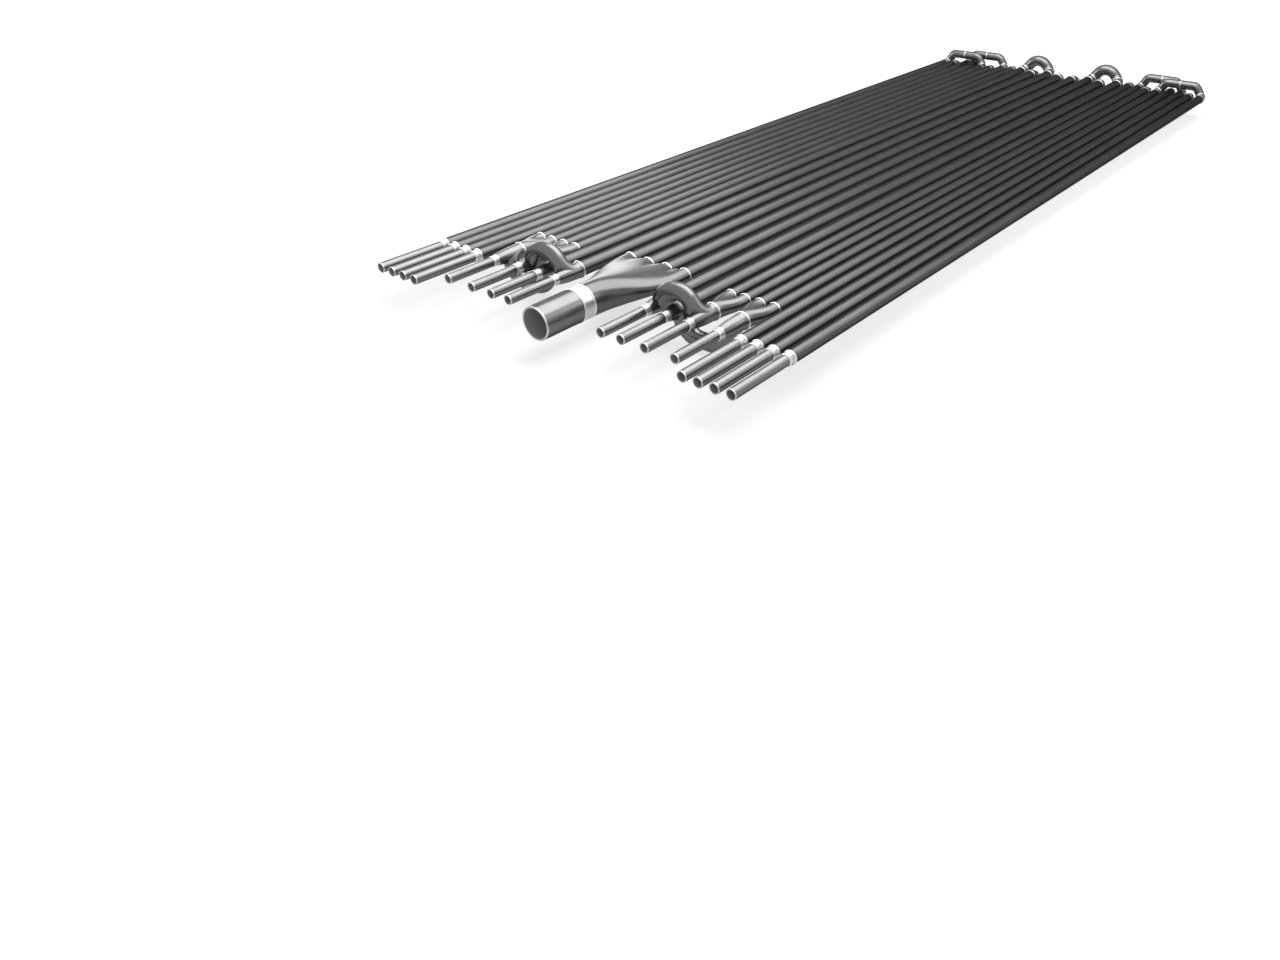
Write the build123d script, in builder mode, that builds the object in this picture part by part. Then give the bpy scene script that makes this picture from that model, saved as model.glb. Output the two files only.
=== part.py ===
from build123d import *

import os
from math import cos, radians, sin, tan

# Radiant coil of a cracking furnace, lying flat: two mirrored halves of four passes each.
# Millimetres. +Y runs along the tubes, away from the inlets, X lies across them and +Z is up.
# Stations are measured along +Y from the open ends of the inlet tubes and the outlet tube.

# Rows of tubes
small_pitch = 140.0
large_pitch = 196.0
row_gap = 157.5
tubes_per_pass = 4

# Pipes: outer diameter and wall of each size
inlet_diameter = 84.0
inlet_wall = 7.0
small_diameter = 104.0
small_wall = 8.0
large_diameter = 126.0
large_wall = 10.0
return_diameter = 108.0
return_wall = 10.0
u_bend_diameter = 140.0
u_bend_wall = 17.0
crossover_diameter = 132.0
crossover_wall = 13.0
support_diameter = 82.0
support_wall = 8.0
outlet_diameter = 268.0
outlet_wall = 14.0

# Weld beads
bead_height = 3.0
bead_half_width = 9.0
bead_crown_half_width = 4.0

# Lengths from the front end
inlet_length = 570.0
reducer_length = 46.0
support_setback = 161.0
support_length = 430.0
support_socket_depth = 10.0
ogive_length = 247.0
elbow_body_length = 40.0
wye_tail_diameter = 140.0
wye_length = 287.0
wye_branch_stub = 38.0
wye_tail_straight = 30.0
wye_middle_share = 0.6
outlet_tube_length = 364.0
transition_length = 98.0
manifold_length = 795.0
mouth_stub_length = 32.0

# Far end
short_tube_station = 9012.0
long_tube_step = 119.0
return_lead = 35.0
u_bend_lead = 18.0

# Return bends between the small tubes: each leg rises at the slope from a foot of 90 degrees
return_foot_radius = 70.0
return_leg_length = 49.4
return_slope = 56.0
return_top_length = 313.7

# U-bends between the large tubes
u_bend_foot_radius = 115.0
u_bend_leg_length = 13.2
u_bend_slope = 50.0
u_bend_top_length = 5.0

# Crossovers from the wyes to the third pass, one over and one under the tubes
over_setback = 140.0
over_foot_radius = 110.0
over_leg_length = 25.0
over_slope = 54.0
over_top_length = 38.0
under_setback = 121.0
under_foot_radius = 90.0
under_leg_length = 5.0
under_slope = 65.0
under_top_length = 101.0

# Fan-shaped manifold: station, half width and half height of each section
manifold_sections = [
    (0.0, 1.0, 1.0),
    (0.10, 1.03, 0.99),
    (0.30, 1.42, 0.93),
    (0.47, 1.97, 0.80),
    (0.65, 2.42, 0.64),
    (0.82, 2.62, 0.51),
]
oval_corner_angle = 16.0


def crown_radius(span, foot, leg, slope, top):
    """Radius of the two crown bends that fill the span left by feet, legs and top run."""
    half_run = (span - top) / 2 - (foot + leg) * cos(radians(slope))
    return half_run / sin(radians(slope))


def bend_rise(span, foot, leg, slope, top):
    """Height of a bend's top run over its feet."""
    crown_tangent = crown_radius(span, foot, leg, slope, top) * tan(radians(slope / 2))
    return (foot + leg + crown_tangent) * sin(radians(slope))


# Where things come out
large_x = [large_pitch * (i + 0.5) for i in range(tubes_per_pass)]
small_x = [large_x[-1] + row_gap + small_pitch * i for i in range(2 * tubes_per_pass)]
wye_x = [(small_x[0] + small_x[1]) / 2, (small_x[2] + small_x[3]) / 2]

crossover_station = support_setback + support_length + ogive_length + elbow_body_length
branch_station = crossover_station + wye_length
mouth_station = outlet_tube_length + transition_length + manifold_length
first_pass_station = inlet_length + reducer_length
long_tube_station = short_tube_station + long_tube_step
u_bend_plane = long_tube_station + u_bend_lead + u_bend_foot_radius
overall_length = u_bend_plane + u_bend_diameter / 2
front = -overall_length / 2

return_bend_sizes = (return_foot_radius, return_leg_length, return_slope, return_top_length)
u_bend_sizes = (u_bend_foot_radius, u_bend_leg_length, u_bend_slope, u_bend_top_length)
over_sizes = (over_foot_radius, over_leg_length, over_slope, over_top_length)
under_sizes = (under_foot_radius, under_leg_length, under_slope, under_top_length)
under_rise = bend_rise(wye_x[1] - large_x[3], *under_sizes)
axis_height = under_rise + crossover_diameter / 2

os.makedirs("parts", exist_ok=True)


def square_plane(x, station):
    """Plane square to a tube at x, looking along +Y."""
    return Plane(origin=(x, front + station, axis_height), x_dir=(-1, 0, 0), z_dir=(0, 1, 0))


def axial_plane(x):
    """Plane along a tube at x: its x is the station and its y the radius."""
    return Plane(origin=(x, front, axis_height), x_dir=(0, 1, 0), z_dir=(1, 0, 0))


def tube_axis(x):
    """Centreline of a tube at x."""
    return Axis((x, front, axis_height), (0, 1, 0))


def bead_start(station, radius):
    """Outline of half a weld bead that begins a piece."""
    return [
        (station, radius + bead_height),
        (station + bead_crown_half_width, radius + bead_height),
        (station + bead_half_width, radius),
    ]


def bead_end(station, radius):
    """Outline of half a weld bead that ends a piece."""
    return [(2 * station - s, r) for s, r in reversed(bead_start(station, radius))]


def full_bead(station, radius_before, radius_after):
    """Outline of a whole weld bead between two radii."""
    return bead_end(station, radius_before)[:-1] + bead_start(station, radius_after)[1:]


def straight_tube(name, x, start, end, diameter, wall):
    """Tube with half a weld bead at each end."""
    radius = diameter / 2
    bore = radius - wall
    with BuildPart() as tube:
        with BuildSketch(axial_plane(x)):
            with BuildLine():
                Polyline(
                    (start, bore),
                    *bead_start(start, radius),
                    *bead_end(end, radius),
                    (end, bore),
                    close=True,
                )
            make_face()
        revolve(axis=tube_axis(x))
    tube.part.label = name
    export_step(tube.part, f"parts/{name}.step")


def inlet_tube(name, x):
    """Open inlet tube with the reducer that widens it to the first pass."""
    radius = inlet_diameter / 2
    small_radius = small_diameter / 2
    with BuildPart() as inlet:
        with BuildSketch(axial_plane(x)):
            with BuildLine():
                Polyline(
                    (0, radius - inlet_wall),
                    (0, radius),
                    *full_bead(inlet_length, radius, radius + bead_height),
                    *bead_end(first_pass_station, small_radius),
                    (first_pass_station, small_radius - small_wall),
                    (inlet_length, radius - inlet_wall),
                    close=True,
                )
            make_face()
        revolve(axis=tube_axis(x))
    inlet.part.label = name
    export_step(inlet.part, f"parts/{name}.step")


def bend_route(x, other_x, start, plane_station, up, sizes):
    """Corners of a bend: out of one tube, up its leg, across and down into the other tube."""
    rise = bend_rise(abs(other_x - x), *sizes)
    leg_run = rise / tan(radians(sizes[2]))
    towards = 1 if other_x > x else -1
    plane_y = front + plane_station
    top_z = axis_height + up * rise
    return [
        (x, front + start, axis_height),
        (x, plane_y, axis_height),
        (x + towards * leg_run, plane_y, top_z),
        (other_x - towards * leg_run, plane_y, top_z),
        (other_x, plane_y, axis_height),
        (other_x, front + start, axis_height),
    ]


def return_bend(name, x, other_x, start, lead, up, sizes, diameter, wall, halves):
    """Cast return bend with weld beads at its ends and round its feet, in one piece or two halves."""
    radius = diameter / 2
    foot = sizes[0]
    crown = crown_radius(abs(other_x - x), *sizes)
    corners = bend_route(x, other_x, start, start + lead + foot, up, sizes)
    with BuildPart() as bend:
        with BuildLine() as route:
            FilletPolyline(*corners, radius=[foot, crown, crown, foot])
        arcs = route.edges().filter_by(GeomType.CIRCLE)
        feet = arcs.sort_by(Axis.Z, reverse=up < 0)[:2]
        top_run = route.edges().sort_by(Axis.Z, reverse=up > 0)[0]
        joints = [*feet, top_run] if halves == 2 else feet
        with BuildSketch(square_plane(x, start)):
            Circle(radius)
        sweep(path=route.line)
        for foot_x in (x, other_x):
            with BuildSketch(square_plane(foot_x, start)):
                Circle(radius + bead_height)
            extrude(amount=bead_half_width)
        for edge in joints:
            with BuildSketch(Plane(origin=edge @ 0.5, z_dir=edge % 0.5)):
                Circle(radius + bead_height)
            extrude(amount=bead_crown_half_width, both=True)
        with BuildSketch(square_plane(x, start)):
            Circle(radius - wall)
        sweep(path=route.line, mode=Mode.SUBTRACT)
    bend.part.label = name
    export_step(bend.part, f"parts/{name}.step")


def crossover_elbow(name, x, other_x, setback, up, sizes):
    """Half of a crossover: a cast elbow whose heel runs out into a support tube."""
    radius = crossover_diameter / 2
    tail_radius = wye_tail_diameter / 2
    support_radius = support_diameter / 2
    ogive_start = support_setback + support_length
    body_start = ogive_start + ogive_length
    crown = crown_radius(abs(other_x - x), *sizes)
    corners = bend_route(x, other_x, crossover_station, crossover_station - setback, up, sizes)
    middle = ((x + other_x) / 2, *corners[2][1:])
    with BuildPart() as elbow:
        with BuildLine() as route:
            FilletPolyline(*corners[:3], middle, radius=[sizes[0], crown])
        with BuildSketch(square_plane(x, crossover_station)):
            Circle(radius)
        sweep(path=route.line)
        with BuildSketch(axial_plane(x)):
            with BuildLine():
                Polyline(
                    (body_start, radius),
                    *bead_end(crossover_station, tail_radius),
                    (crossover_station, 0),
                    (support_setback, 0),
                    (support_setback, support_radius),
                    *full_bead(ogive_start, support_radius, support_radius),
                )
                TangentArc(
                    (body_start, radius),
                    (ogive_start + bead_half_width, support_radius),
                    tangent=(-1, 0),
                )
            make_face()
        revolve(axis=tube_axis(x))
        with BuildSketch(square_plane(x, crossover_station)):
            Circle(radius - crossover_wall)
        sweep(path=route.line, mode=Mode.SUBTRACT)
        with BuildSketch(square_plane(x, support_setback)):
            Circle(support_radius - support_wall)
        extrude(amount=support_length + support_socket_depth, mode=Mode.SUBTRACT)
    elbow.part.label = name
    export_step(elbow.part, f"parts/{name}.step")


def oval(x, station, half_width, half_height):
    """Flat oval of four arcs across a tube at x, a circle where its two half sizes are equal."""
    corner = radians(oval_corner_angle)
    side = half_width - half_height
    corner_x = side + half_height * sin(corner)
    corner_y = half_height * cos(corner)
    with BuildSketch(square_plane(x, station)) as section:
        with BuildLine():
            ThreePointArc((corner_x, corner_y), (half_width, 0), (corner_x, -corner_y))
            ThreePointArc((corner_x, -corner_y), (0, -half_height), (-corner_x, -corner_y))
            ThreePointArc((-corner_x, -corner_y), (-half_width, 0), (-corner_x, corner_y))
            ThreePointArc((-corner_x, corner_y), (0, half_height), (corner_x, corner_y))
        make_face()
    return section.sketch.face()


def wye_sections(x, spread, inset, tail):
    """Sections of a Y-piece's shell or hollow, from its round tail to its flat fork."""
    fork = small_diameter / 2 - inset
    web_length = wye_length - wye_branch_stub
    middle = crossover_station + wye_middle_share * web_length
    return [
        oval(x, crossover_station, tail, tail),
        oval(x, crossover_station + wye_tail_straight, tail, tail),
        oval(x, middle, (tail + spread + fork) / 2, (tail + fork) / 2),
        oval(x, crossover_station + web_length - 2 * inset, spread + fork, fork),
    ]


def wye(name, x, branches):
    """Y-piece that gathers two second-pass tubes into one tail."""
    tail = wye_tail_diameter / 2
    tail_bore = crossover_diameter / 2 - crossover_wall
    branch = small_diameter / 2
    spread = (branches[1] - branches[0]) / 2
    shell = wye_sections(x, abs(spread), 0, tail)
    hollow = wye_sections(x, abs(spread), small_wall, tail_bore)
    with BuildPart() as fitting:
        loft(shell)
        with BuildSketch(square_plane(x, crossover_station)):
            Circle(tail + bead_height)
        extrude(amount=bead_half_width)
        for branch_x in branches:
            with BuildSketch(square_plane(branch_x, branch_station)):
                Circle(branch)
            extrude(amount=-(wye_branch_stub + branch))
            with BuildSketch(square_plane(branch_x, branch_station)):
                Circle(branch + bead_height)
            extrude(amount=-bead_half_width)
        loft(hollow, mode=Mode.SUBTRACT)
        for branch_x in branches:
            with BuildSketch(square_plane(branch_x, branch_station)):
                Circle(branch - small_wall)
            extrude(amount=-(wye_branch_stub + branch), mode=Mode.SUBTRACT)
    fitting.part.label = name
    export_step(fitting.part, f"parts/{name}.step")


def manifold_shell(inset):
    """Sections of the manifold's shell or hollow, from the round outlet to the flat mouths."""
    start = outlet_tube_length + transition_length
    body_length = manifold_length - mouth_stub_length
    round_radius = outlet_diameter / 2
    mouth_radius = large_diameter / 2
    sections = [
        oval(
            0,
            start + share * body_length,
            width * round_radius - inset,
            height * round_radius - inset,
        )
        for share, width, height in manifold_sections
    ]
    mouths = oval(0, start + body_length - inset, large_x[1] + mouth_radius - inset, mouth_radius - inset)
    return [*sections, mouths]


def manifold(name):
    """Fan-shaped casting that gathers the four centre tubes into the outlet."""
    mouth_radius = large_diameter / 2
    stub_length = mouth_stub_length + mouth_radius
    mouths = (-large_x[1], -large_x[0], large_x[0], large_x[1])
    shell = manifold_shell(0)
    hollow = manifold_shell(outlet_wall)
    with BuildPart() as fan:
        loft(shell)
        with BuildSketch(square_plane(0, outlet_tube_length + transition_length)):
            Circle(outlet_diameter / 2 + bead_height)
        extrude(amount=bead_half_width)
        for mouth_x in mouths:
            with BuildSketch(square_plane(mouth_x, mouth_station)):
                Circle(mouth_radius)
            extrude(amount=-stub_length)
            with BuildSketch(square_plane(mouth_x, mouth_station)):
                Circle(mouth_radius + bead_height)
            extrude(amount=-bead_half_width)
        loft(hollow, mode=Mode.SUBTRACT)
        for mouth_x in mouths:
            with BuildSketch(square_plane(mouth_x, mouth_station)):
                Circle(mouth_radius - large_wall)
            extrude(amount=-stub_length, mode=Mode.SUBTRACT)
    fan.part.label = name
    export_step(fan.part, f"parts/{name}.step")


def outlet_tube(name):
    """Large open outlet tube."""
    radius = outlet_diameter / 2
    with BuildPart() as outlet:
        with BuildSketch(axial_plane(0)):
            with BuildLine():
                Polyline(
                    (0, radius - outlet_wall),
                    (0, radius),
                    *bead_end(outlet_tube_length, radius),
                    (outlet_tube_length, radius - outlet_wall),
                    close=True,
                )
            make_face()
        revolve(axis=tube_axis(0))
    outlet.part.label = name
    export_step(outlet.part, f"parts/{name}.step")


for side, side_name in ((-1, "left"), (1, "right")):
    small = [side * x for x in small_x]
    large = [side * x for x in large_x]
    wyes = [side * x for x in wye_x]

    # The far ends step so that neighbouring bends clear each other
    small_end = [long_tube_station, long_tube_station, short_tube_station, short_tube_station] * 2
    large_end = [short_tube_station, long_tube_station] * 2

    for i in range(tubes_per_pass):
        first = i + tubes_per_pass
        inlet_tube(f"inlet_tube_{side_name}_{i + 1}", small[first])
        straight_tube(
            f"first_pass_tube_{side_name}_{i + 1}",
            small[first], first_pass_station, small_end[first], small_diameter, small_wall,
        )
        straight_tube(
            f"second_pass_tube_{side_name}_{i + 1}",
            small[i], branch_station, small_end[i], small_diameter, small_wall,
        )
        return_bend(
            f"return_bend_{side_name}_{i + 1}",
            small[i], small[first], small_end[i], return_lead, 1 if i % 2 else -1,
            return_bend_sizes, return_diameter, return_wall, halves=2,
        )

    for name, index in (("inner", 0), ("outer", 1)):
        wye(f"wye_{side_name}_{name}", wyes[index], (small[2 * index], small[2 * index + 1]))
        straight_tube(
            f"fourth_pass_tube_{side_name}_{name}",
            large[index], mouth_station, large_end[index], large_diameter, large_wall,
        )
        straight_tube(
            f"third_pass_tube_{side_name}_{name}",
            large[index + 2], crossover_station, large_end[index + 2], large_diameter, large_wall,
        )
        return_bend(
            f"u_bend_{side_name}_{name}",
            large[index], large[index + 2], large_end[index], u_bend_lead, 1 if index else -1,
            u_bend_sizes, u_bend_diameter, u_bend_wall, halves=1,
        )

    for name, wye_end, tube_end, sizes in (
        ("over", wyes[0], large[2], (over_setback, 1, over_sizes)),
        ("under", wyes[1], large[3], (under_setback, -1, under_sizes)),
    ):
        crossover_elbow(f"{name}_crossover_{side_name}_wye_elbow", wye_end, tube_end, *sizes)
        crossover_elbow(f"{name}_crossover_{side_name}_tube_elbow", tube_end, wye_end, *sizes)

manifold("outlet_manifold")
straight_tube(
    "outlet_transition_ring",
    0, outlet_tube_length, outlet_tube_length + transition_length, outlet_diameter, outlet_wall,
)
outlet_tube("outlet_tube")
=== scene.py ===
from math import atan2, copysign, cos, exp, pi, radians, sin

import bmesh
import bpy
from mathutils import Matrix, Vector


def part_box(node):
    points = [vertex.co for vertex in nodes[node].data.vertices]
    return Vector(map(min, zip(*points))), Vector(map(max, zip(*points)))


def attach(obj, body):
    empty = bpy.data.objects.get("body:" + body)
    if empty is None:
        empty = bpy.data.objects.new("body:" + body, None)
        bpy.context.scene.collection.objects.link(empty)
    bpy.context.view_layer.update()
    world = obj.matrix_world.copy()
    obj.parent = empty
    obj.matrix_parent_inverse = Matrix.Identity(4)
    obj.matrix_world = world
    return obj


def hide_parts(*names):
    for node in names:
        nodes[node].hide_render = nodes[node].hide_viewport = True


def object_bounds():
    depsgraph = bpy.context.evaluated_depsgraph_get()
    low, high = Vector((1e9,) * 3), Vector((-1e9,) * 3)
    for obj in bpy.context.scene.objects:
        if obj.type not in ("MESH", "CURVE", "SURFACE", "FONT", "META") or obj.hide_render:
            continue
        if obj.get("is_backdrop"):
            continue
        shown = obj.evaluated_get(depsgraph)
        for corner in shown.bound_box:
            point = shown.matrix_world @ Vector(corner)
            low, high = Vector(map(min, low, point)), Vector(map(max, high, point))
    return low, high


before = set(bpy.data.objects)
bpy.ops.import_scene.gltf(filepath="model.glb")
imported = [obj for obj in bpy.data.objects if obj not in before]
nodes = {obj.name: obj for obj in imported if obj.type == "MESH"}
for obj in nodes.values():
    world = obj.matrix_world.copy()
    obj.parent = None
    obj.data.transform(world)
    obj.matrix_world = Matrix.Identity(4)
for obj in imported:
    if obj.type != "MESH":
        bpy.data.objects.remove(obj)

cad_low, cad_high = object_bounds()
scene = bpy.context.scene
scene.view_settings.view_transform = "Standard"


# Camera: stands high over the inlet end and looks along the tubes to the far return bends,
# with the lens, place and shift that bring the coil where it lies in the picture.
looks_down = 25.372
turned_left = 34.344
camera_data = bpy.data.cameras.new("camera")
camera_data.lens = 30.775
camera_data.sensor_width = 36.0
camera_data.shift_x = -0.166
camera_data.shift_y = -0.129
camera_data.clip_start = 0.1
camera_data.clip_end = 200.0
camera = bpy.data.objects.new("camera", camera_data)
camera.location = (5.8567, -9.2091, 3.6729)
camera.rotation_euler = (radians(90 - looks_down), 0, radians(turned_left))
scene.collection.objects.link(camera)
scene.camera = camera


# Floor: a plain pale studio floor under the coil. It glows white where it is seen directly or in
# a gloss, a little less so near the coil, so that the coil stands on white with its soft shadow.
floor_reach = 60.0
floor_grey = 0.30
near_glow = 0.70
white_glow = 1.0
glow_rise = (6.0, 11.0)


def feed(tree, socket, value):
    """Gives a node's socket a plain value, or links another node's output to it."""
    if isinstance(value, bpy.types.NodeSocket):
        tree.links.new(value, socket)
    else:
        socket.default_value = value


def maths(tree, operation, *values):
    """Result of a Math node on numbers and other nodes' outputs."""
    node = tree.nodes.new("ShaderNodeMath")
    node.operation = operation
    for socket, value in zip(node.inputs, values):
        feed(tree, socket, value)
    return node.outputs[0]


def ranged(tree, value, before, after):
    """Result of a Map Range node, from the two ends before to the two ends after."""
    node = tree.nodes.new("ShaderNodeMapRange")
    sockets = ("Value", "From Min", "From Max", "To Min", "To Max")
    for socket, given in zip(sockets, (value, *before, *after)):
        feed(tree, node.inputs[socket], given)
    return node.outputs["Result"]


def length_of(tree, vector):
    """Length of another node's vector output."""
    node = tree.nodes.new("ShaderNodeVectorMath")
    node.operation = "LENGTH"
    tree.links.new(vector, node.inputs[0])
    return node.outputs["Value"]


def own_place(tree):
    """Place of each point on the piece, in the coil's own coordinates."""
    return tree.nodes.new("ShaderNodeTexCoord").outputs["Object"]


def seen_rays(tree):
    """Output that is 1 for what the camera sees directly, in a gloss or through glass."""
    ray = tree.nodes.new("ShaderNodeLightPath").outputs
    direct_or_gloss = maths(tree, "MAXIMUM", ray["Is Camera Ray"], ray["Is Glossy Ray"])
    return maths(tree, "MAXIMUM", direct_or_gloss, ray["Is Transmission Ray"])


floor_mesh = bpy.data.meshes.new("studio_floor")
floor_build = bmesh.new()
bmesh.ops.create_grid(floor_build, x_segments=1, y_segments=1, size=floor_reach)
floor_build.to_mesh(floor_mesh)
floor_build.free()
floor = bpy.data.objects.new("studio_floor", floor_mesh)
scene.collection.objects.link(floor)
floor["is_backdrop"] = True

floor_paint = bpy.data.materials.new("studio_floor_white")
floor_paint.use_nodes = True
floor_mesh.materials.append(floor_paint)
floor_tree = floor_paint.node_tree
floor_shader = floor_tree.nodes["Principled BSDF"]
floor_shader.inputs["Base Color"].default_value = (floor_grey, floor_grey, floor_grey, 1)
floor_shader.inputs["Roughness"].default_value = 0.9
floor_shader.inputs["Specular IOR Level"].default_value = 0.1

from_middle = length_of(floor_tree, own_place(floor_tree))
glow = ranged(floor_tree, from_middle, glow_rise, (near_glow, white_glow))
floor_glow = floor_tree.nodes.new("ShaderNodeEmission")
floor_glow.inputs["Color"].default_value = (1, 1, 1, 1)
seen_glow = maths(floor_tree, "MULTIPLY", seen_rays(floor_tree), glow)
floor_tree.links.new(seen_glow, floor_glow.inputs["Strength"])
floor_sum = floor_tree.nodes.new("ShaderNodeAddShader")
floor_tree.links.new(floor_shader.outputs[0], floor_sum.inputs[0])
floor_tree.links.new(floor_glow.outputs[0], floor_sum.inputs[1])
floor_tree.links.new(floor_sum.outputs[0], floor_tree.nodes["Material Output"].inputs["Surface"])


# Backdrop: the same white all round, but only where it is seen directly or in a gloss. As a light
# it is a weak even fill, so that the lamps shape the pipes and nothing sinks into black.
fill_strength = 0.4
seen_strength = 1.0
world = bpy.data.worlds.new("studio")
world.use_nodes = True
scene.world = world
sky = world.node_tree
sky_light = sky.nodes["Background"]
sky_light.inputs["Color"].default_value = (1, 1, 1, 1)
sky_light.inputs["Strength"].default_value = fill_strength
sky_seen = sky.nodes.new("ShaderNodeBackground")
sky_seen.inputs["Color"].default_value = (1, 1, 1, 1)
sky_seen.inputs["Strength"].default_value = seen_strength
sky_mix = sky.nodes.new("ShaderNodeMixShader")
sky.links.new(seen_rays(sky), sky_mix.inputs[0])
sky.links.new(sky_light.outputs[0], sky_mix.inputs[1])
sky.links.new(sky_seen.outputs[0], sky_mix.inputs[2])
sky.links.new(sky_mix.outputs[0], sky.nodes["World Output"].inputs["Surface"])


# Lamps: three soft panels. The large one overhead draws the long light lines along the tubes, the
# right one lights the castings at the front, and the low left one the manifold's shoulder.
def lamp(name, place, aim, size, watts):
    """Soft rectangular studio lamp at a place, turned to what it lights."""
    data = bpy.data.lights.new(name, "AREA")
    data.shape = "RECTANGLE"
    data.size, data.size_y = size
    data.energy = watts
    made = bpy.data.objects.new(name, data)
    made.location = place
    made.rotation_euler = (Vector(aim) - Vector(place)).to_track_quat("-Z", "Y").to_euler()
    scene.collection.objects.link(made)


lamp("top_panel", place=(0, 1.0, 7.0), aim=(0, 1.0, 0.3), size=(10.0, 8.6), watts=1300)
lamp("right_panel", place=(6.2, 2.8, 4.7), aim=(1.2, -3.6, 0.4), size=(5.0, 3.6), watts=115)
lamp("left_panel", place=(-7.0, -0.3, 1.6), aim=(0, -3.2, 0.3), size=(6.0, 2.6), watts=290)


# Straight tubes: centrifugally cast pipe of a heat-resisting alloy, bored and ground to a dark
# satin grey, and butt-welded at both ends. The shade and gloss wander a little, as a ground pipe's
# do, and a low edge tint keeps the oxide-dark look where the steel is seen at a glancing angle.
alloy_metal = 0.9
bare_metal = 1.0


def node_group(name, inputs, outputs):
    """New node group with named sockets, and the sockets that its own nodes read and feed."""
    group = bpy.data.node_groups.new(name, "ShaderNodeTree")
    for in_out, sockets in (("INPUT", inputs), ("OUTPUT", outputs)):
        for socket, kind in sockets.items():
            group.interface.new_socket(socket, in_out=in_out, socket_type=f"NodeSocket{kind}")
    given = group.nodes.new("NodeGroupInput").outputs
    out = group.nodes.new("NodeGroupOutput").inputs
    return group, given, out


def noise(tree, scale, detail):
    """Factor of a Noise Texture over the piece's own coordinates."""
    node = tree.nodes.new("ShaderNodeTexNoise")
    tree.links.new(own_place(tree), node.inputs["Vector"])
    feed(tree, node.inputs["Scale"], scale)
    node.inputs["Detail"].default_value = detail
    return node.outputs["Fac"]


def satin_group():
    """Shader node group: grey, roughness and normal of a satin alloy surface."""
    inputs = {
        "Shade": "Color", "Mottle": "Float", "Gloss Low": "Float", "Gloss High": "Float",
        "Grain Size": "Float", "Grain Depth": "Float",
    }
    outputs = {"Color": "Color", "Roughness": "Float", "Normal": "Vector"}
    group, given, out = node_group("satin_alloy", inputs, outputs)
    link = group.links.new

    cloud = noise(group, scale=3.2, detail=5.0)
    swing = ranged(group, cloud, (0.3, 0.7), (-1.0, 1.0))
    tint = group.nodes.new("ShaderNodeVectorMath")
    tint.operation = "SCALE"
    link(given["Shade"], tint.inputs[0])
    link(maths(group, "MULTIPLY_ADD", swing, given["Mottle"], 1.0), tint.inputs["Scale"])
    link(tint.outputs[0], out["Color"])

    rub = noise(group, scale=11.0, detail=4.0)
    link(ranged(group, rub, (0.35, 0.65), (given["Gloss Low"], given["Gloss High"])), out["Roughness"])

    relief = group.nodes.new("ShaderNodeBump")
    relief.inputs["Distance"].default_value = 0.001
    link(given["Grain Depth"], relief.inputs["Strength"])
    link(noise(group, scale=given["Grain Size"], detail=3.0), relief.inputs["Height"])
    link(relief.outputs["Normal"], out["Normal"])
    return group


satin_alloy = satin_group()


def lay(tree, group, values):
    """Lays a node group into a material with values of its own, and gives its outputs."""
    laid = tree.nodes.new("ShaderNodeGroup")
    laid.node_tree = group
    for socket, value in values.items():
        laid.inputs[socket].default_value = value
    return laid.outputs


def steel(name, shade, mottle, gloss, grain_size, grain_depth, edge_tint=1.0, metal=alloy_metal):
    """Steel with the satin surface, in a grey, gloss and grain of its own."""
    made = bpy.data.materials.new(name)
    made.use_nodes = True
    tree = made.node_tree
    shader = tree.nodes["Principled BSDF"]
    shader.inputs["Metallic"].default_value = metal
    shader.inputs["Specular IOR Level"].default_value = 0.1
    shader.inputs["Specular Tint"].default_value = (edge_tint, edge_tint, edge_tint, 1)
    surface = lay(tree, satin_alloy, {
        "Shade": (*shade, 1), "Mottle": mottle, "Gloss Low": gloss[0], "Gloss High": gloss[1],
        "Grain Size": grain_size, "Grain Depth": grain_depth,
    })
    tree.links.new(surface["Color"], shader.inputs["Base Color"])
    tree.links.new(surface["Roughness"], shader.inputs["Roughness"])
    tree.links.new(surface["Normal"], shader.inputs["Normal"])
    return made


def dress(piece, material):
    """Gives a piece its one material."""
    piece.data.materials.clear()
    piece.data.materials.append(material)


def dress_named(words, material):
    """Dresses every solid that has these words in its name."""
    for name, piece in nodes.items():
        if words in name:
            dress(piece, material)


tube_steel = steel(
    "ground_tube_steel", shade=(0.086, 0.087, 0.089), mottle=0.06, gloss=(0.28, 0.32),
    grain_size=70.0, grain_depth=0.03, edge_tint=0.15,
)
dress_named("_pass_tube_", tube_steel)


# Inlet tubes: short lengths of smaller pipe of the same alloy, each with a machined reducer that
# widens it to its first pass. The reducer is turned bright, the open end carries a painted
# highlight along its rim in the same bright grey, and the bore has a matt oxide scale. All eight
# have them at the same stations, so one material serves them.
turned_and_highlight_grey = (0.50, 0.504, 0.51)
scale_grey = (0.52, 0.52, 0.525)
scale_metal = 0.15
inlet_length = 0.570
inlet_scale_radius = 0.0353
plain_bead_half_width = 0.009
rim_highlight_width = 0.007
band_edge = 0.001
# Places of a Mix node's two inputs and of its result, for colours and for numbers
mix_sockets = {"RGBA": (6, 7, 2), "FLOAT": (2, 3, 0)}


def middle_of(name):
    """X of a piece's middle, which is its axis where the piece runs along the tubes."""
    return sum(v.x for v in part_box(name)) / 2


def blend(tree, kind, mask, below, above):
    """Result of a Mix node: above where the mask is 1, below where it is 0."""
    first, second, result = mix_sockets[kind]
    node = tree.nodes.new("ShaderNodeMix")
    node.data_type = kind
    tree.links.new(mask, node.inputs["Factor"])
    tree.links.new(below, node.inputs[first])
    tree.links.new(above, node.inputs[second])
    return node.outputs[result]


def split_place(tree):
    """X, Y and Z outputs of the place of each point on the piece."""
    parts = tree.nodes.new("ShaderNodeSeparateXYZ")
    tree.links.new(own_place(tree), parts.inputs[0])
    return parts.outputs


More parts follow.
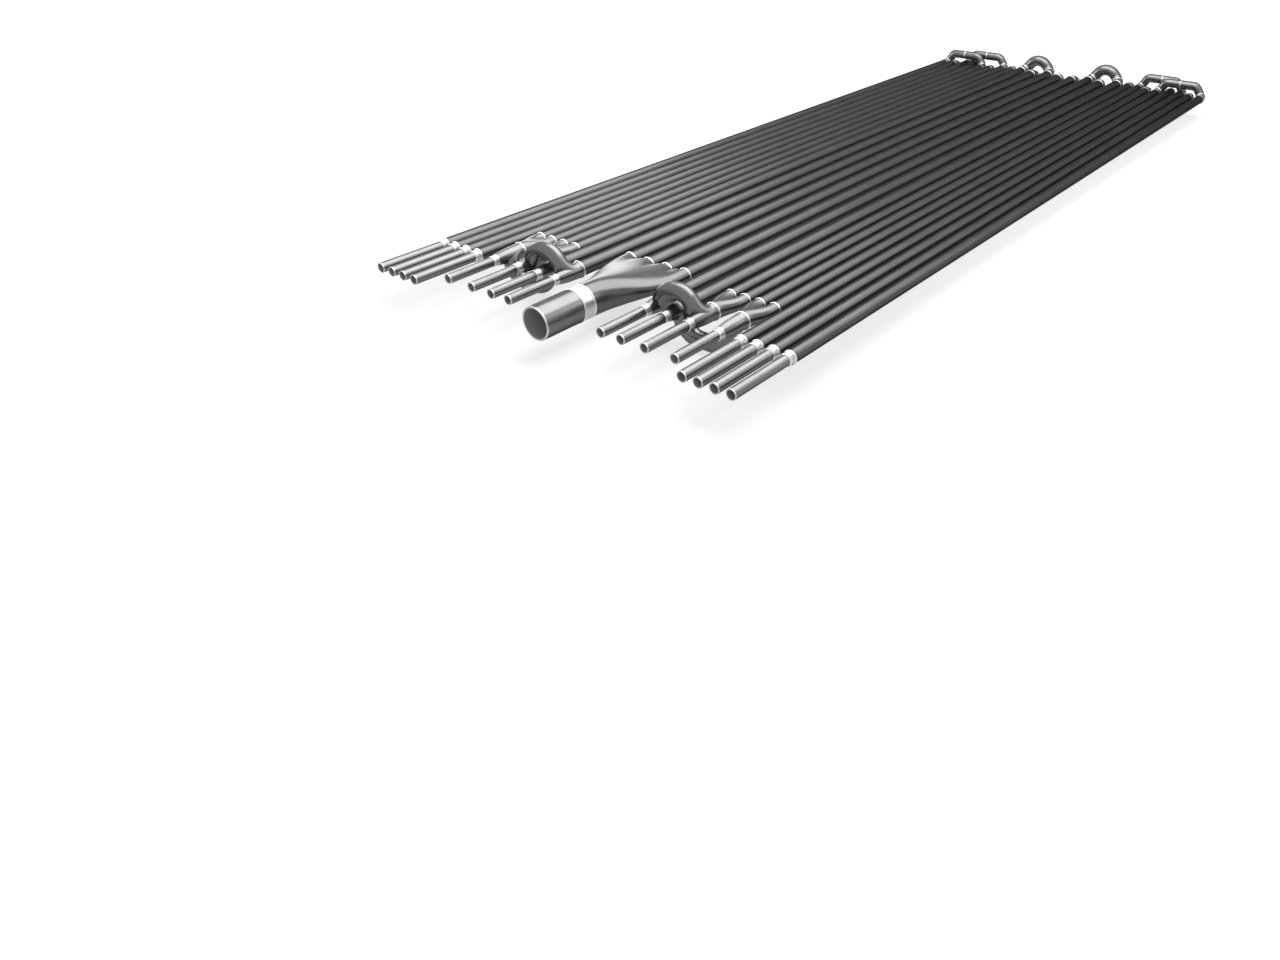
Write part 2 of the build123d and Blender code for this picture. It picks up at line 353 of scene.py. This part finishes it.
def band_group():
    """Shader node group: 1 between two stations along the tubes, fading behind the second."""
    inputs = {"Start": "Float", "End": "Float", "Edge": "Float"}
    group, given, out = node_group("machined_and_highlight_band", inputs, {"Mask": "Float"})
    station = split_place(group)["Y"]
    past_start = maths(group, "GREATER_THAN", station, given["Start"])
    faded = maths(group, "ADD", given["End"], given["Edge"])
    before_end = ranged(group, station, (given["End"], faded), (1.0, 0.0))
    group.links.new(maths(group, "MULTIPLY", past_start, before_end), out["Mask"])
    return group


machined_and_highlight_band = band_group()


def machine_and_highlight(material, bands):
    """Makes bands of a steel bright, turned bands and painted rim highlights, each by start, end and
    soft edge in metres.
    """
    tree = material.node_tree
    base = tree.nodes["Principled BSDF"].inputs["Base Color"]
    shade = base.links[0].from_socket
    turned_and_highlight = lay(tree, satin_alloy, {"Shade": (*turned_and_highlight_grey, 1), "Mottle": 0.05})["Color"]
    for start, end, edge in bands:
        mask = lay(tree, machined_and_highlight_band, {"Start": start, "End": end, "Edge": edge})["Mask"]
        shade = blend(tree, "RGBA", mask, shade, turned_and_highlight)
    tree.links.new(shade, base)


def bore_group():
    """Shader node group: 1 inside a radius round an axis along the tubes, on both halves."""
    inputs = {"Axis X": "Float", "Axis Z": "Float", "Radius": "Float"}
    group, given, out = node_group("scaled_bore", inputs, {"Mask": "Float"})
    place = split_place(group)
    across = maths(group, "SUBTRACT", maths(group, "ABSOLUTE", place["X"]), given["Axis X"])
    upward = maths(group, "SUBTRACT", place["Z"], given["Axis Z"])
    offset = group.nodes.new("ShaderNodeCombineXYZ")
    group.links.new(across, offset.inputs["X"])
    group.links.new(upward, offset.inputs["Z"])
    inside = maths(group, "LESS_THAN", length_of(group, offset.outputs[0]), given["Radius"])
    group.links.new(inside, out["Mask"])
    return group


scaled_bore = bore_group()


def oxidise(material, axes, radius):
    """Turns the bores on the given axes to the matt grey scale that hot gas leaves in a tube."""
    tree = material.node_tree
    shader = tree.nodes["Principled BSDF"]
    mask = None
    for axis in axes:
        values = {"Axis X": axis, "Axis Z": axis_height, "Radius": radius}
        bore = lay(tree, scaled_bore, values)["Mask"]
        mask = bore if mask is None else maths(tree, "MAXIMUM", mask, bore)
    scale = lay(tree, satin_alloy, {
        "Shade": (*scale_grey, 1), "Mottle": 0.16, "Gloss Low": 0.50, "Gloss High": 0.62,
    })
    base, roughness = shader.inputs["Base Color"], shader.inputs["Roughness"]
    shade = blend(tree, "RGBA", mask, base.links[0].from_socket, scale["Color"])
    gloss = blend(tree, "FLOAT", mask, roughness.links[0].from_socket, scale["Roughness"])
    metal = ranged(tree, mask, (0.0, 1.0), (alloy_metal, scale_metal))
    tree.links.new(shade, base)
    tree.links.new(gloss, roughness)
    tree.links.new(metal, shader.inputs["Metallic"])


front, reducer_end = (v.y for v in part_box("inlet_tube_left_1"))
reducer_start = front + inlet_length - plain_bead_half_width
axis_height = sum(v.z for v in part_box("outlet_tube")) / 2
inlet_steel = steel(
    "ground_inlet_steel", shade=(0.165, 0.166, 0.168), mottle=0.06, gloss=(0.28, 0.32),
    grain_size=70.0, grain_depth=0.03, edge_tint=0.2,
)
# Painted highlight: a bright band along the open end's rim, standing in for the light that the rim
# catches
rim_highlight_band = (front - band_edge, front + rim_highlight_width, band_edge)
machine_and_highlight(inlet_steel, [rim_highlight_band, (reducer_start, reducer_end + band_edge, band_edge)])
inlet_axes = [middle_of(f"inlet_tube_right_{i}") for i in range(1, 5)]
oxidise(inlet_steel, inlet_axes, inlet_scale_radius)
dress_named("inlet_tube_", inlet_steel)


# Return bends and U-bends: smooth castings of the same alloy, a little lighter than the ground
# tubes. They stand half of them up and half down, with both feet welded to the tubes' far ends.
cast_steel = steel(
    "fine_cast_steel", shade=(0.125, 0.126, 0.128), mottle=0.06, gloss=(0.25, 0.30),
    grain_size=60.0, grain_depth=0.04, edge_tint=0.5,
)
dress_named("return_bend_", cast_steel)
dress_named("u_bend_", cast_steel)


# Y-pieces: smooth castings whose round tail opens to a flat fork with a valley between its two
# branches, which are short round stubs welded to the second-pass tubes.
sides = ("left", "right")
lanes = ("inner", "outer")
ring_corners = 56
smooth_levels = 2
tail_radius = 0.070
branch_radius = 0.052
branch_stub = 0.038
wye_valley_width = 0.034
# Share of the fork's length, share of its widening, height against the tail's, how far the oval
# has become a flat slot, and depth of the valley
fork_sections = (
    (0.00, 0.00, 1.000, 0.00, 0.00),
    (0.03, 0.00, 1.000, 0.00, 0.00),
    (0.12, 0.02, 0.990, 0.05, 0.00),
    (0.26, 0.20, 0.955, 0.20, 0.00),
    (0.42, 0.50, 0.900, 0.40, 0.05),
    (0.58, 0.77, 0.845, 0.60, 0.14),
    (0.74, 0.93, 0.797, 0.80, 0.30),
    (0.88, 0.99, 0.760, 0.95, 0.52),
    (0.97, 1.00, 0.748, 1.00, 0.70),
    (1.00, 1.00, 0.744, 1.00, 0.76),
)


def casting_ring(
    build, centre, half_width, half_height, square=0.0, valley=0.0, crotches=(), valley_width=None,
):
    """One cross-section: a circle drawn out to an oval or a flat slot, with valleys in its faces."""
    circle = bmesh.ops.create_circle(build, cap_ends=False, radius=1.0, segments=ring_corners)
    ring = circle["verts"]
    side = half_width - half_height
    quarter_bow = pi / 2 * half_height
    for vert in ring:
        c, s = abs(vert.co.x), abs(vert.co.y)
        run = atan2(s, c) / (pi / 2) * (quarter_bow + side)
        turn = min(run / half_height, pi / 2)
        slot_x = side + half_height * cos(turn) - max(run - quarter_bow, 0)
        slot_z = half_height * sin(turn)
        across = copysign((1 - square) * half_width * c + square * slot_x, vert.co.x)
        upward = copysign((1 - square) * half_height * s + square * slot_z, vert.co.y)
        dip = 1 - sum(valley * exp(-(((across - x) / valley_width) ** 2)) for x in crotches)
        vert.co = centre + Vector((across, 0, upward * dip))
    return list({edge for vert in ring for edge in vert.link_edges})


def cast_skin(build, rings):
    """Closed skin through a row of cross-sections, with crisp ends."""
    creases = build.edges.layers.float
    crease = creases.get("crease_edge") or creases.new("crease_edge")
    loops = [casting_ring(build, *ring) for ring in rings]
    for before, after in zip(loops, loops[1:]):
        bmesh.ops.bridge_loops(build, edges=before + after)
    for end in (loops[0], loops[-1]):
        bmesh.ops.edgeloop_fill(build, edges=end)
        for edge in end:
            edge[crease] = 1.0


def cast_stub(build, centre, stub, radius):
    """Round stub that ends at a joint and sinks into the casting with a rounded nose."""
    # Distance back from the joint, and size against the stub's own radius
    outline = [
        (0.0, 1.0), (0.006, 1.0), (stub, 0.998),
        (stub + 0.02, 0.97), (stub + 0.04, 0.86), (stub + 0.055, 0.6),
    ]
    cast_skin(build, [
        (centre - Vector((0, back, 0)), size * radius, size * radius) for back, size in outline
    ])


def smooth_piece(name, build, material):
    """Smooth-shaded piece of the welded coil, from a mesh in its place."""
    mesh = bpy.data.meshes.new(name)
    build.to_mesh(mesh)
    build.free()
    mesh.shade_smooth()
    piece = bpy.data.objects.new(name, mesh)
    scene.collection.objects.link(piece)
    dress(piece, material)
    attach(piece, "root")
    return piece


def casting_piece(name, build, material):
    """Casting from its skins, finished with a subdivision surface."""
    bmesh.ops.recalc_face_normals(build, faces=build.faces)
    piece = smooth_piece(name, build, material)
    smooth = piece.modifiers.new("smooth", "SUBSURF")
    smooth.levels = smooth.render_levels = smooth_levels
    return piece


for side in sides:
    for i, which in enumerate(lanes):
        branches = [middle_of(f"second_pass_tube_{side}_{n}") for n in (2 * i + 1, 2 * i + 2)]
        low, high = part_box(f"wye_{side}_{which}")
        tail = Vector((sum(branches) / 2, low.y, axis_height))
        fork_width = abs(branches[1] - branches[0]) / 2 + branch_radius
        fork_length = high.y - low.y - branch_stub
        rings = []
        for share, width, height, square, valley in fork_sections:
            at = tail + Vector((0, share * fork_length, 0))
            half_width = tail_radius + width * (fork_width - tail_radius)
            half_height = height * tail_radius
            rings.append((at, half_width, half_height, square, valley, (0.0,), wye_valley_width))
        build = bmesh.new()
        cast_skin(build, rings)
        for x in branches:
            cast_stub(build, Vector((x, high.y, axis_height)), branch_stub, branch_radius)
        wye = casting_piece(f"wye_{side}_{which}_casting", build, cast_steel)
        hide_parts(f"wye_{side}_{which}")


# Crossover elbows: castings like the bends, two to each crossover. An ogive heel carries an open
# support tube in line with the elbow's own tube, turned bright behind its weld, with a painted
# highlight along its open edge.
support_length = 0.430
support_seat = 0.040
support_seat_edge = 0.006
support_scale_radius = 0.0333
elbow_steel = steel(
    "fine_elbow_steel", shade=(0.150, 0.151, 0.153), mottle=0.06, gloss=(0.25, 0.30),
    grain_size=60.0, grain_depth=0.04, edge_tint=0.5,
)
support_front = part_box("over_crossover_left_tube_elbow")[0].y
support_end = support_front + support_length
machine_and_highlight(elbow_steel, [
    # Painted highlight along the support tube's open rim; the second band is the turned weld seat
    (support_front - band_edge, support_front + rim_highlight_width, band_edge),
    (support_end, support_end + support_seat, support_seat_edge),
])
elbow_axes = [middle_of(f"{name}_right_{i}") for name in ("wye", "third_pass_tube") for i in lanes]
oxidise(elbow_steel, elbow_axes, support_scale_radius)
dress_named("_crossover_", elbow_steel)


# Outlet manifold: one large smooth casting, round at the outlet and opening like a fan to four
# mouths side by side, which are round stubs welded to the fourth-pass tubes.
outlet_radius = 0.134
mouth_radius = 0.063
mouth_stub = 0.032
fan_valley_width = 0.03
mouths = [middle_of(f"fourth_pass_tube_{side}_{which}") for side in sides for which in lanes]
mouth_gaps = [i * (max(mouths) - min(mouths)) / 3 for i in (-1, 0, 1)]
mouths_width = (max(mouths) + mouth_radius) / outlet_radius
# Share of the fan's length, width and height against the outlet's, how far the oval has become a
# flat slot, and depth of the valleys
fan_sections = (
    (0.00, 1.000, 1.000, 0.00, 0.00),
    (0.01, 1.000, 1.000, 0.00, 0.00),
    (0.05, 1.006, 0.999, 0.00, 0.00),
    (0.12, 1.050, 0.993, 0.00, 0.00),
    (0.21, 1.190, 0.972, 0.02, 0.00),
    (0.30, 1.420, 0.935, 0.05, 0.00),
    (0.38, 1.680, 0.882, 0.09, 0.00),
    (0.47, 1.970, 0.810, 0.14, 0.00),
    (0.56, 2.220, 0.732, 0.21, 0.00),
    (0.65, 2.420, 0.655, 0.31, 0.00),
    (0.74, 2.550, 0.585, 0.46, 0.00),
    (0.83, 2.625, 0.530, 0.66, 0.01),
    (0.91, 2.655, 0.492, 0.86, 0.06),
    (0.97, mouths_width, 0.474, 1.00, 0.20),
    (1.00, mouths_width, 0.471, 1.00, 0.34),
)
manifold_steel = steel(
    "smooth_manifold_steel", shade=(0.100, 0.101, 0.103), mottle=0.05, gloss=(0.24, 0.28),
    grain_size=40.0, grain_depth=0.03, edge_tint=0.6,
)
low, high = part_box("outlet_manifold")
fan_start = Vector((0, low.y, axis_height))
fan_length = high.y - low.y - mouth_stub
rings = []
for share, width, height, square, valley in fan_sections:
    at = fan_start + Vector((0, share * fan_length, 0))
    half_width = width * outlet_radius
    half_height = height * outlet_radius
    rings.append((at, half_width, half_height, square, valley, mouth_gaps, fan_valley_width))
fan = bmesh.new()
cast_skin(fan, rings)
for x in mouths:
    cast_stub(fan, Vector((x, high.y, axis_height)), mouth_stub, mouth_radius)
manifold = casting_piece("outlet_manifold_casting", fan, manifold_steel)
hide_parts("outlet_manifold")


# Transition ring: a short heavy ring between the manifold and the outlet tube, turned bright all
# over and welded on both sides.
ring_steel = steel(
    "machined_ring_steel", shade=(0.45, 0.454, 0.46), mottle=0.04, gloss=(0.24, 0.30),
    grain_size=200.0, grain_depth=0.03, metal=bare_metal,
)
dress(nodes["outlet_transition_ring"], ring_steel)


# Outlet tube: rolled pipe with satin walls, welded to the transition ring. Its open end carries a
# painted highlight along the edge, like the inlets', and its bore has the matt oxide scale of the hot
# gas.
outlet_scale_radius = 0.1205
outlet_steel = steel(
    "rolled_outlet_steel", shade=(0.150, 0.151, 0.153), mottle=0.06, gloss=(0.26, 0.30),
    grain_size=70.0, grain_depth=0.03, edge_tint=0.2,
)
# Painted highlight along the outlet's open rim
machine_and_highlight(outlet_steel, [rim_highlight_band])
oxidise(outlet_steel, [0.0], outlet_scale_radius)
dress(nodes["outlet_tube"], outlet_steel)


# Weld beads: every joint is welded all round and brushed bright. The beads at the tubes' far ends
# are a darker grey: painted shade that darkens the far end of the coil. Each bead is laid over the
# plain one of the solids, with the overlapping ripples that a welder's passes leave.
inlet_radius = 0.042
small_radius = 0.052
large_radius = 0.063
return_radius = 0.054
u_bend_radius = 0.070
elbow_radius = 0.070
support_radius = 0.041
reducer_length = 0.046
reducer_step = 0.003
plain_bead_height = 0.003
bead_crest = 0.0032
bead_sink = 0.0004
bead_skirt = 0.0101
narrow_skirt = 0.0068
ripple_rise = 0.0006
ripple_pitch = 0.0062
ripple_bow = 2.2
ripple_clearance = 0.001
fewest_steps = 48
along_tubes = Vector((0, 1, 0))
# Straight lead from the tube, radius of the foot, and slope that the foot turns to
return_foot = (0.035, 0.070, radians(56))
u_bend_foot = (0.018, 0.115, radians(50))
foot_half_turn = radians(45)
weld_steel = steel(
    "brushed_weld_steel", shade=(0.60, 0.604, 0.61), mottle=0.10, gloss=(0.28, 0.42),
    grain_size=400.0, grain_depth=0.10, metal=bare_metal,
)
# Painted shade: the beads at the far ends get this darker grey, so the far end of the coil reads
# darker
far_shaded_weld_steel = steel(
    "far_shade_weld_steel", shade=(0.28, 0.281, 0.283), mottle=0.10, gloss=(0.28, 0.42),
    grain_size=400.0, grain_depth=0.10, edge_tint=0.5,
)


def weld_ring(build, centre, along, radius_before, radius_after, skirt=bead_skirt):
    """Lays one bead round a joint: a rounded profile spun about the pipe, then rippled."""
    crown = skirt * 0.42
    shoulder = skirt * 0.82
    shoulder_height = bead_crest * 0.45
    top = max(radius_before, radius_after) + bead_crest
    profile = [
        (-skirt, radius_before - bead_sink),
        (-shoulder, radius_before + shoulder_height),
        (-crown, radius_before + bead_crest),
        (0, top),
        (crown, radius_after + bead_crest),
        (shoulder, radius_after + shoulder_height),
        (skirt, radius_after - bead_sink),
    ]
    ring = bmesh.new()
    rim = [ring.verts.new((0, radius, station)) for station, radius in profile]
    chain = [ring.edges.new(pair) for pair in zip(rim, rim[1:] + rim[:1])]
    steps = max(fewest_steps, round(2 * pi * top / ripple_pitch) * 2)
    bmesh.ops.spin(
        ring, geom=rim + chain, cent=(0, 0, 0), axis=(0, 0, 1), dvec=(0, 0, 0),
        angle=2 * pi, steps=steps, use_merge=True, use_duplicate=False,
    )
    bmesh.ops.recalc_face_normals(ring, faces=ring.faces)
    for vert in ring.verts:
        spoke = Vector((vert.co.x, vert.co.y))
        turn = Vector((1, 0)).angle_signed(spoke, 0.0)
        lag = abs(vert.co.z) / skirt * ripple_bow
        swell = 0.5 + 0.5 * cos(turn * steps / 2 + lag)
        if spoke.length > min(radius_before, radius_after) + ripple_clearance:
            grown = (spoke.length + ripple_rise * swell) / spoke.length
            vert.co.x *= grown
            vert.co.y *= grown
    turn_to = along.to_track_quat("Z", "Y").to_matrix().to_4x4()
    bmesh.ops.transform(ring, matrix=Matrix.Translation(centre) @ turn_to, verts=ring.verts)
    laid = bpy.data.meshes.new("bead")
    ring.to_mesh(laid)
    ring.free()
    build.from_mesh(laid)
    bpy.data.meshes.remove(laid)


def weld_piece(name, rings, material):
    """One piece of like beads, kept inside the coil's own box."""
    build = bmesh.new()
    for ring in rings:
        weld_ring(build, *ring)
    for vert in build.verts:
        vert.co = [min(max(v, a), b) for v, a, b in zip(vert.co, cad_low, cad_high)]
    piece = smooth_piece(name, build, material)


def end_of(name, far):
    """Centre of a tube's or casting's near or far end."""
    box_low, box_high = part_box(name)
    centre = (box_low + box_high) / 2
    centre.y = (box_high if far else box_low).y
    return centre


def bend_rings(bend, tubes, foot_sizes, radius, halved):
    """Beads round a bend's two feet, half way through their turn, and between its halves."""
    lead, foot, slope = foot_sizes
    box_low, box_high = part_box(bend)
    one, other = (end_of(tube, far=True) for tube in tubes)
    up = 1 if box_high.z - one.z > one.z - box_low.z else -1
    turn_sin, turn_cos = sin(foot_half_turn), cos(foot_half_turn)
    rings = []
    for place, facing in ((one, other), (other, one)):
        towards = 1 if facing.x > place.x else -1
        leg = Vector((towards * cos(slope), 0, up * sin(slope)))
        centre = place + lead * along_tubes + foot * (turn_sin * along_tubes + (1 - turn_cos) * leg)
        along = turn_cos * along_tubes + turn_sin * leg
        rings.append((centre, along, radius, radius, narrow_skirt))
    if halved:
        level = (box_high.z if up > 0 else box_low.z) - up * (radius + plain_bead_height)
        middle = Vector(((one.x + other.x) / 2, one.y + lead + foot, level))
        rings.append((middle, Vector((1, 0, 0)), radius, radius, narrow_skirt))
    return rings


beads = {joint: [] for joint in ("reducer", "far_end", "bend", "wye", "crossover", "manifold")}


def add_bead(joint, name, far, radius_before, radius_after):
    """Adds a bead at a piece's near or far end to the others of its kind of joint."""
    beads[joint].append((end_of(name, far), along_tubes, radius_before, radius_after))


for side in sides:
    for i in range(1, 5):
        first = f"first_pass_tube_{side}_{i}"
        second = f"second_pass_tube_{side}_{i}"
        inlet_end = end_of(first, far=False) - reducer_length * along_tubes
        add_bead("reducer", first, False, small_radius, small_radius)
        beads["reducer"].append((inlet_end, along_tubes, inlet_radius, inlet_radius + reducer_step))
        add_bead("far_end", first, True, small_radius, return_radius)
        add_bead("far_end", second, True, small_radius, return_radius)
        add_bead("wye", second, False, small_radius, small_radius)
        bend = f"return_bend_{side}_{i}"
        beads["bend"] += bend_rings(bend, (first, second), return_foot, return_radius, halved=True)
    for which in lanes:
        third = f"third_pass_tube_{side}_{which}"
        fourth = f"fourth_pass_tube_{side}_{which}"
        add_bead("far_end", third, True, large_radius, u_bend_radius)
        add_bead("far_end", fourth, True, large_radius, u_bend_radius)
        add_bead("crossover", third, False, elbow_radius, large_radius)
        add_bead("crossover", f"wye_{side}_{which}", False, elbow_radius, elbow_radius)
        add_bead("manifold", fourth, False, large_radius, large_radius)
        bend = f"u_bend_{side}_{which}"
        beads["bend"] += bend_rings(bend, (third, fourth), u_bend_foot, u_bend_radius, halved=False)
    for way, which in (("over", "inner"), ("under", "outer")):
        elbow_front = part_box(f"{way}_crossover_{side}_wye_elbow")[0].y
        for name in (f"wye_{side}_{which}", f"third_pass_tube_{side}_{which}"):
            centre = Vector((middle_of(name), elbow_front + support_length, axis_height))
            beads["crossover"].append((centre, along_tubes, support_radius, support_radius))
add_bead("manifold", "outlet_tube", True, outlet_radius, outlet_radius)
add_bead("manifold", "outlet_transition_ring", True, outlet_radius, outlet_radius)

# Painted shade: the far-end beads take the darker grey
for joint, rings in beads.items():
    weld_piece(f"{joint}_welds", rings, far_shaded_weld_steel if joint == "far_end" else weld_steel)


# The visual model's box, over everything shown but the floor
low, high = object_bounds()
